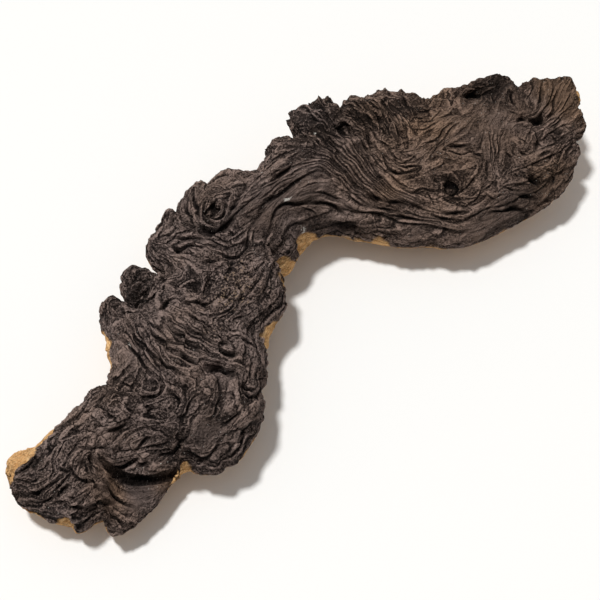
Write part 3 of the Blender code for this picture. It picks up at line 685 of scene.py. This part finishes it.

# Where the brown is warm; where it is lighter, partly bleached wood and partly painted light where the
# surface is lit; and where it is black, partly black wood and partly painted shade in hollows and about
# the fin: x, y, radii in mm, amount.
WARM_PATCHES = [
    (120, 10, 85, 60, 0.55), (202, 5, 18, 26, 0.6), (118, 33, 22, 12, 0.5), (138, 50, 12, 9, 0.5),
    (165, -33, 20, 10, 0.5), (72, 9, 14, 9, 0.4), (-130, -9, 16, 8, 0.3), (-152, -50, 9, 12, 0.45),
    (-10, 70, 18, 12, 0.25), (-146, -44, 4, 8, 0.8), (-122, -57, 8, 5, 0.9), (204, 8, 10, 30, 0.5),
    (100, 60, 12, 18, 0.4),
]
BLEACHED_AND_LIT_PATCHES = [
    (20, 32, 24, 8, 0.25), (50, 18, 14, 10, 0.4), (66, 6, 14, 10, 0.5), (-82, 2, 14, 10, 0.4),
    (-72, -25, 16, 10, 0.6), (-142, -30, 16, 10, 0.6), (-154, -48, 10, 14, 0.5), (-64, 9, 9, 12, 0.7),
    (-79, 6, 6, 14, 0.5), (-50, 34, 8, 12, 0.5), (-105, 8, 5, 16, 0.6), (-94, -24, 10, 7, 0.35),
    (-70, -34, 12, 6, 0.35), (-140, -22, 10, 6, 0.35), (12, 42, 18, 3.5, 0.4), (5, 70, 14, 8, 0.4),
    (76, 13, 6, 12, 0.6), (56, 8, 5, 6, 0.3), (98, 25, 12, 5, 0.25), (108, 32, 4, 14, 0.25),
    (99, 16, 4, 9, 0.5), (120, 22, 4, 8, 0.35), (125, 31, 8, 6, 0.25), (158, 10, 14, 10, 0.5),
    (117, -8, 5, 16, 0.5), (85, -32, 24, 6, 0.25), (190, -8, 16, 10, 0.35),
]
BLACK_AND_SHADED_PATCHES = [
    (160, 28, 10, 12, 0.6), (116, 42, 4, 9, 0.6), (93, 32, 4, 10, 0.5), (113, 14, 6, 5, 0.4),
    (112, 52, 6, 4, 0.8), (144, -36, 34, 6, 0.3), (60, -6, 30, 5, 0.3), (66, 66, 30, 18, 0.6),
    (95, 52, 12, 14, 0.5), (170, 32, 15, 14, 0.9), (-76, 42, 9, 7, 0.7), (-24, 52, 8, 8, 0.5),
    (29, 17, 6, 8, 0.6), (-182, -31, 7, 12, 0.5), (125, 48, 14, 12, 0.35), (-114, -50, 8, 10, 0.5),
    (-84, -52, 8, 10, 0.3), (150, -33, 20, 7, 0.3), (102, -9, 7, 6, 0.7), (-116, -12, 8, 6, 0.5),
]

# Where the wood is crusty, pitted and flecked with cream, and where lime has dried white on it.
CRUSTY_PATCHES = [
    (-38, 2, 22, 14, 1.0), (-28, 14, 10, 6, 0.6), (-62, -14, 10, 10, 0.6), (-128, -14, 18, 12, 0.5),
    (-170, -34, 14, 12, 0.4), (96, -8, 18, 8, 0.6), (104, 32, 14, 6, 0.4), (140, -20, 22, 10, 0.5),
    (-104, -30, 16, 12, 0.4), (-160, -20, 24, 20, 0.3), (-70, 10, 30, 30, 0.3),
]
WHITE_CRUSTS = [
    (18, 34, 6, 1.6, 1.0), (20, 21, 4, 2.0, 1.0), (-101, 14, 2, 6, 0.9), (-44, -12, 8, 2, 0.7),
    (18, 58, 2.5, 2, 0.8), (59, 63, 2, 2, 0.8), (75, 71, 2, 1.6, 0.8), (-112, -60, 5, 2, 0.6),
    (96, 29, 6, 2, 0.5),
]


def closed_mesh(name, points, numbers, vectors):
    """One closed mesh from the grid, with a point at each end, and its values as attributes."""
    count, around = points.shape[:2]
    flat = np.concatenate([points.reshape(-1, 3), [points[0].mean(axis=0), points[-1].mean(axis=0)]])
    row, column = np.meshgrid(np.arange(count - 1), np.arange(around), indexing="ij")
    ahead = (column + 1) % around
    quads = np.stack([row * around + column, row * around + ahead,
                      (row + 1) * around + ahead, (row + 1) * around + column], axis=-1)
    ring = np.arange(around)
    turn = (ring + 1) % around
    base = (count - 1) * around
    first = np.stack([turn, ring, np.full(around, count * around)], axis=-1)
    final = np.stack([base + ring, base + turn, np.full(around, count * around + 1)], axis=-1)
    faces = quads.reshape(-1, 4).tolist() + first.tolist() + final.tolist()
    mesh = bpy.data.meshes.new(name)
    mesh.from_pydata(flat * MM, [], faces)
    for label, value in numbers.items():
        level = np.concatenate([value.reshape(-1), [value[0].mean(), value[-1].mean()]])
        made = mesh.attributes.new(label, "FLOAT", "POINT")
        made.data.foreach_set("value", level.astype(np.float32))
    for label, value in vectors.items():
        level = np.concatenate([value.reshape(-1, 3), value[0, :1], value[-1, :1]])
        made = mesh.attributes.new(label, "FLOAT_VECTOR", "POINT")
        made.data.foreach_set("vector", level.reshape(-1).astype(np.float32))
    mesh.shade_smooth()
    return mesh


numbers = {
    "pale": pale,
    # groove marks where the fine ridges' grooves are painted darker as shade.
    "groove": np.clip(0.6 * np.clip(0.4 - broad, 0, 1) + 0.7 * np.clip(0.4 - narrow, 0, 1), 0, 1),
    # crest lightens the crests as a painted highlight.
    "crest": np.clip(0.6 * broad + 0.4 * narrow, 0, 1),
    "calm": calm,
    "crusty": patchy(CRUSTY_PATCHES),
    "warm": patchy(WARM_PATCHES),
    "toned": 0.5 + 0.5 * patchy(BLEACHED_AND_LIT_PATCHES) - 0.5 * patchy(BLACK_AND_SHADED_PATCHES),
    "whitened": patchy(WHITE_CRUSTS),
}
vectors = {f"fold_{family}": crisp[family] for family in range(FAMILIES)}
vectors["flow"] = flow
vectors["seams"] = np.stack([layers, narrow_seams, plate_edges], axis=-1)
root_mesh = closed_mesh("mopani_root_wood", wood + DRAWING_SHIFT, numbers, vectors)
root_piece = bpy.data.objects.new("mopani_root_wood", root_mesh)
bpy.context.scene.collection.objects.link(root_piece)


# The root's finish: dull, dark brown outer wood, painted nearly black in its folds as shade, painted
# greyer and lighter on the crests as highlight, and warmer over the paddle, with golden heartwood
# underneath, grit, cream flecks and lime.
UMBER, WARM_UMBER = (0.036, 0.027, 0.024, 1), (0.052, 0.033, 0.023, 1)
# The lighter pair is worn, paler wood and also painted highlight on crests and edges.
WORN_AND_HIGHLIT, WARM_WORN_AND_HIGHLIT = (0.285, 0.212, 0.187, 1), (0.330, 0.212, 0.145, 1)
# The first of these blacks is painted shade in the folds, cracks and grooves. The second darkens the black
# patches: partly wood that is itself darker, partly painted shade in hollows.
CREASE_SHADE_BLACK, DARK_WOOD_AND_SHADE = (0.003, 0.0025, 0.0025, 1), (0.008, 0.007, 0.006, 1)
CREAM, LIME = (0.36, 0.25, 0.17, 1), (0.50, 0.47, 0.43, 1)
GOLD, LIGHT_GOLD, GOLD_GROOVE_SHADE = (0.54, 0.275, 0.10, 1), (0.86, 0.56, 0.28, 1), (0.16, 0.08, 0.03, 1)


class Grain:
    """A value, a colour or a place in the wood's shader, held as a node's output socket."""

    def __init__(self, socket):
        self.socket = socket

    def node(self, kind, settings=None, inputs=None, output=0):
        """A new node of this kind: its settings first, then the values or links of its sockets."""
        made = self.socket.id_data.nodes.new(kind)
        for name, value in (settings or {}).items():
            setattr(made, name, value)
        for name, value in (inputs or {}).items():
            if isinstance(value, Grain):
                self.socket.id_data.links.new(value.socket, made.inputs[name])
            else:
                made.inputs[name].default_value = value
        return Grain(made.outputs[output])

    def math(self, operation, first, second=0.0):
        return self.node("ShaderNodeMath", {"operation": operation}, {0: first, 1: second})

    def __add__(self, other):
        return self.math("ADD", self, other)

    def __radd__(self, other):
        return self.math("ADD", other, self)

    def __sub__(self, other):
        return self.math("SUBTRACT", self, other)

    def __rsub__(self, other):
        return self.math("SUBTRACT", other, self)

    def __mul__(self, other):
        return self.math("MULTIPLY", self, other)

    def __rmul__(self, other):
        return self.math("MULTIPLY", other, self)

    def __truediv__(self, other):
        return self.math("DIVIDE", self, other)

    def __pow__(self, other):
        return self.math("POWER", self, other)

    def __abs__(self):
        return self.math("ABSOLUTE", self)

    def between(self, low, high):
        """0 below low, 1 above high, and an even slope between."""
        return self.node("ShaderNodeMapRange", None, {"Value": self, "From Min": low, "From Max": high})

    def blend(self, first, second):
        """The first colour where this is 0, the second where it is 1."""
        return self.node("ShaderNodeMix", {"data_type": "RGBA"}, {0: self, 6: first, 7: second}, 2)


def root_wood():
    material = bpy.data.materials.new("mopani_root_wood")
    material.use_nodes = True
    tree = material.node_tree
    shader = tree.nodes["Principled BSDF"]
    place = Grain(tree.nodes.new("ShaderNodeTexCoord").outputs["Object"])

    def attribute(name, output="Fac"):
        return place.node("ShaderNodeAttribute", {"attribute_name": name}, output=output)

    def split(name):
        """The three numbers of an attribute."""
        parts = place.node("ShaderNodeSeparateXYZ", None, {0: attribute(name, "Vector")})
        return [Grain(parts.socket.node.outputs[axis]) for axis in range(3)]

    def most(*values):
        """The largest of some values."""
        largest = values[0]
        for value in values[1:]:
            largest = place.math("MAXIMUM", largest, value)
        return largest

    def noise(spacing, detail=0.0, roughness=0.5, at=place):
        """Noise of about this spacing in mm, from 0 to 1."""
        inputs = {"Vector": at, "Scale": 1000 / spacing, "Detail": detail, "Roughness": roughness}
        return place.node("ShaderNodeTexNoise", None, inputs, output="Fac")

    def streaks(spacing, reach, count=9):
        """Noise averaged along the flow, then folded at its middle: fine ridges with sharp grooves."""
        flow = attribute("flow", "Vector")
        total = 0.0
        for step in np.linspace(-reach, reach, count):
            inputs = {0: flow, 1: (step * MM,) * 3, 2: place}
            along_flow = place.node("ShaderNodeVectorMath", {"operation": "MULTIPLY_ADD"}, inputs)
            total = total + noise(spacing, at=along_flow)
        return (abs(total - 0.5 * count) * (5.0 / count ** 0.7)).between(0.0, 1.0) ** 0.6

    # Painted shade and highlight at the folds: line paints each fold's bottom black as shade, proud lightens
    # the side behind the fold as a painted highlight and raises it in the bump, and rim is a thin painted
    # highlight along the proud edge.
    fold, proud, rim, ragged = 0.0, 0.0, 0.0, noise(2.0, 3.0, 0.6)
    for family in range(FAMILIES):
        away, nearness, width = split(f"fold_{family}")
        past = away - width
        line = (width - abs(away + 1.3 * (ragged - 0.5))).between(0.0, 0.4) * nearness
        fold = most(line, fold)
        proud = proud + away.between(-0.2, 0.6) * (3.0 - away).between(0.0, 2.6) * nearness
        rim = rim + past.between(0.0, 0.2) * (0.9 - past).between(0.0, 0.4) * nearness

    pale, calm, crusty = attribute("pale"), attribute("calm"), attribute("crusty")
    tone, whitened = attribute("toned"), attribute("whitened")
    layer, narrow_seam, plate_edge = split("seams")
    thick, thin = streaks(3.0, 7.0), streaks(1.5, 4.0, 7)
    patches, mottle, breaks = noise(30.0, 4.0), noise(4.0, 6.0, 0.75), noise(9.0, 3.0)
    grit, grains, crust = noise(0.9, 1.0), noise(1.2, 1.0, 0.6), noise(2.4, 2.0, 0.65)

    # The seams between layers and plates are painted near black as shade in their cracks, and lit_edge is a
    # painted highlight along the edges of the layers and plates.
    step = place.math("FRACT", LAYERS_EACH * layer + 0.35 * (ragged - 0.5))
    seam = abs(step - 0.5).between(0.39, 0.45) * breaks.between(0.35, 0.5)
    fine_seam = (1.0 - abs(narrow_seam + 0.6 * (ragged - 0.5)) / 0.2).between(0.0, 0.5)
    fine_seam = 0.64 * fine_seam * breaks.between(0.55, 0.45)
    plate_edge = plate_edge + 0.25 * (crust - 0.5)
    plate_line = 0.8 * (1.0 - abs(plate_edge + 0.08) / 0.09).between(0.0, 0.5)
    seams = most(seam, fine_seam, plate_line) * (1.0 - 0.7 * calm)
    lit_edge = step.between(0.6, 0.8) * (0.88 - step).between(0.0, 0.05)
    lit_edge = lit_edge + plate_edge.between(0.0, 0.05) * (0.25 - plate_edge).between(0.0, 0.12)

    # light is the outer wood's lightness: its own tone from patches, mottle, grains and crust, and painted
    # highlights on the fine ridges' crests, the folds' proud sides, the lit edges and the rims.
    light = 0.18 * thick + 0.12 * thin + 0.3 * attribute("crest") + 0.3 * mottle.between(0.3, 0.7)
    light = light + 0.9 * (tone - 0.5) + 0.5 * (patches - 0.5) + (0.4 + 0.8 * crusty) * (crust - 0.5)
    light = light + (1.5 + crusty - 1.3 * calm) * (grains - 0.5)
    light = light + 0.3 * proud + 0.45 * lit_edge * (1.0 - 0.7 * calm)
    light = light + 0.5 * rim * breaks.between(0.35, 0.55)
    light = light * (1.0 - 0.5 * calm) + 0.28 * calm
    warmth = (attribute("warm") + 0.9 * (noise(22.0, 2.0) - 0.45)).between(0.0, 1.0)
    outer = light.between(0.3, 1.0).blend(warmth.blend(UMBER, WARM_UMBER), warmth.blend(WORN_AND_HIGHLIT, WARM_WORN_AND_HIGHLIT))
    # Painted shade: the grooves of the fine ridges, the seams' cracks and the folds' bottoms turn near
    # black.
    shadow = 0.2 * (1.0 - thick).between(0.6, 1.0) + 0.4 * attribute("groove")
    outer = most(shadow, 0.8 * seams, fold).blend(outer, CREASE_SHADE_BLACK)
    # Painted shade in the hollows and about the fin, with wood that is itself darker, from the black
    # patches.
    outer = (0.35 * (0.5 - tone).between(0.0, 0.5)).blend(outer, DARK_WOOD_AND_SHADE)
    cream = (0.6 * grains + 0.6 * crust + 0.2 * crusty).between(0.90, 0.98) * crusty.between(0.4, 0.9)
    outer = (cream * (1.0 - fold)).blend(outer, CREAM)
    specks = grit.between(0.735, 0.775) * patches.between(0.4, 0.55)
    lime = (crust + 0.5 * whitened).between(0.93, 1.0) * whitened.between(0.2, 0.5)
    outer = most(specks, lime).blend(outer, LIME)
    gold = (0.5 * thin + 0.7 * mottle).between(0.3, 0.9).blend(GOLD, LIGHT_GOLD)
    # The gold is painted darker in the grooves between the fine ridges, as shade.
    gold = (0.5 * (1.0 - thick).between(0.5, 1.0)).blend(gold, GOLD_GROOVE_SHADE)
    tree.links.new(pale.blend(outer, gold).socket, shader.inputs["Base Color"])
    tree.links.new((0.7 + 0.25 * mottle).socket, shader.inputs["Roughness"])

    relief = (0.7 * thick + 0.3 * thin) * (1.0 - 0.6 * pale) + grains + 1.2 * crust * (1.0 + crusty)
    relief = relief + 0.8 * mottle + 0.8 * proud - 1.2 * fold + (0.8 * step - seams) * (1.0 - pale)
    bump_inputs = {"Strength": 1.0, "Distance": 1.1 * MM, "Height": relief}
    bump = place.node("ShaderNodeBump", None, bump_inputs, "Normal")
    tree.links.new(bump.socket, shader.inputs["Normal"])
    shader.inputs["Specular IOR Level"].default_value = 0.04
    return material


root_mesh.materials.append(root_wood())
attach(root_piece, "root")
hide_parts("mopani_root")


# The surface that the root lies on: a wide, plain, off-white board.
bpy.ops.mesh.primitive_plane_add(size=8)
board = bpy.context.object
board.name = "white_board"
board_paint = bpy.data.materials.new("white_board")
board_paint.use_nodes = True
board_shader = board_paint.node_tree.nodes["Principled BSDF"]
board_shader.inputs["Base Color"].default_value = (0.86, 0.86, 0.85, 1)
board_shader.inputs["Roughness"].default_value = 0.7
board.data.materials.append(board_paint)


# Daylight from behind, high and a little to the left, with light from all round to soften it, and a
# camera that looks down from the front left, as in the photograph.
scene = bpy.context.scene
scene.view_settings.view_transform = "Standard"
sky = scene.world or bpy.data.worlds.new("sky")
scene.world = sky
sky.use_nodes = True
sky.node_tree.nodes["Background"].inputs["Color"].default_value = (1.0, 0.97, 0.95, 1)
sky.node_tree.nodes["Background"].inputs["Strength"].default_value = 0.34

daylight = bpy.data.lights.new("daylight", "SUN")
daylight.energy = 2.75
daylight.angle = np.radians(8)
daylight.color = (1.0, 1.0, 0.99)
lamp = bpy.data.objects.new("daylight", daylight)
lamp.rotation_euler = Vector((-0.14, 0.33, 1.0)).to_track_quat("Z", "Y").to_euler()
scene.collection.objects.link(lamp)

AZIMUTH, ELEVATION, DISTANCE = np.radians(-36.0), np.radians(58.0), 0.69
AIM = Vector((-0.006, -0.012, 0.025)) + Vector(DRAWING_SHIFT * MM)
level_reach = np.cos(ELEVATION)
toward_camera = Vector((np.sin(AZIMUTH) * level_reach, -np.cos(AZIMUTH) * level_reach, np.sin(ELEVATION)))
camera_data = bpy.data.cameras.new("camera")
camera_data.lens = 75
camera_data.sensor_width = 36
camera = bpy.data.objects.new("camera", camera_data)
camera.location = AIM + toward_camera * DISTANCE
camera.rotation_euler = toward_camera.to_track_quat("Z", "Y").to_euler()
scene.collection.objects.link(camera)
scene.camera = camera
